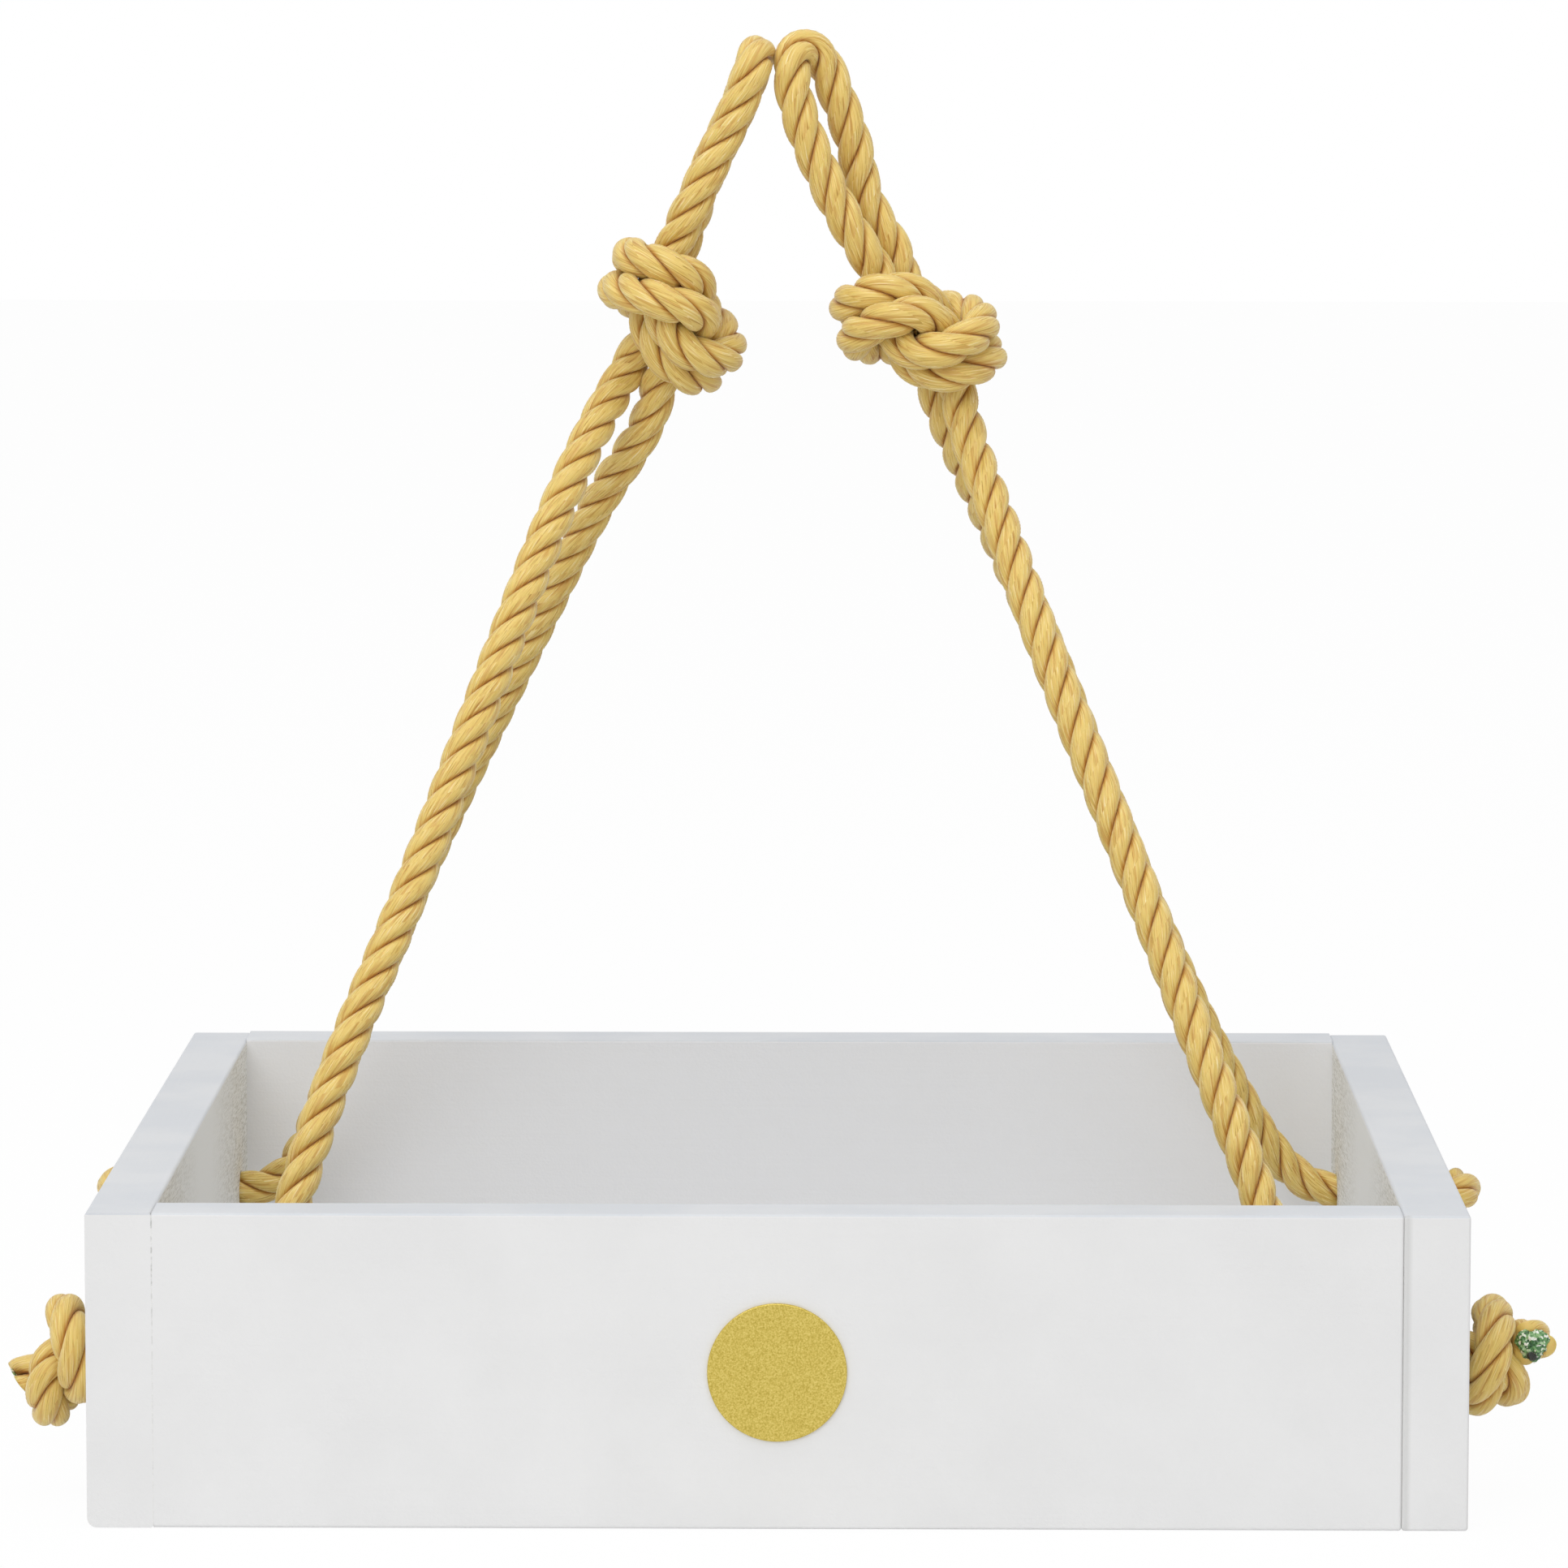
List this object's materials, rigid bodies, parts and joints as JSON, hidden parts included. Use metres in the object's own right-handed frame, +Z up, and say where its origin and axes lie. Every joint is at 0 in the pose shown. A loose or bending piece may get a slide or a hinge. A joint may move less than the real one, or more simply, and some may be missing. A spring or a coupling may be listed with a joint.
{
  "type": "platform bird feeder",
  "caption": "Hanging platform bird feeder: white rectangular plastic tray with a perforated floor, hung from two knotted golden ropes that end in small eyes at the top.",
  "frame": {"origin": "centre of the tray's underside", "axes": "+X to the tray's right seen from the front, -Y to the front where the badge is, +Z up"},
  "size_m": [0.3794, 0.3056, 0.3545],
  "materials": {
    "white_board": "matte, faintly grained",
    "rope": "laid fibres with a slight sheen",
    "sealant": "uneven, speckled",
    "gold_badge": "satin, fine grained",
    "floor_sheet": "plain mill finish",
    "screw_steel": "bright"
  },
  "bodies": {
    "root": {"left_side_board": "white_board", "right_side_board": "white_board", "front_board": "white_board", "back_board": "white_board", "front_cleat": "white_board", "back_cleat": "white_board", "floor_screen": "floor_sheet", "badge": "gold_badge", "front_left_corner_screws": "screw_steel", "front_right_corner_screws": "screw_steel", "front_cleat_screws": "screw_steel", "back_left_corner_screws": "screw_steel", "back_right_corner_screws": "screw_steel", "back_cleat_screws": "screw_steel", "left_rope": "rope", "right_rope": "rope", "left_front_end_seal": "sealant", "left_back_end_seal": "sealant", "right_front_end_seal": "sealant", "right_back_end_seal": "sealant"}
  },
  "joints": []
}
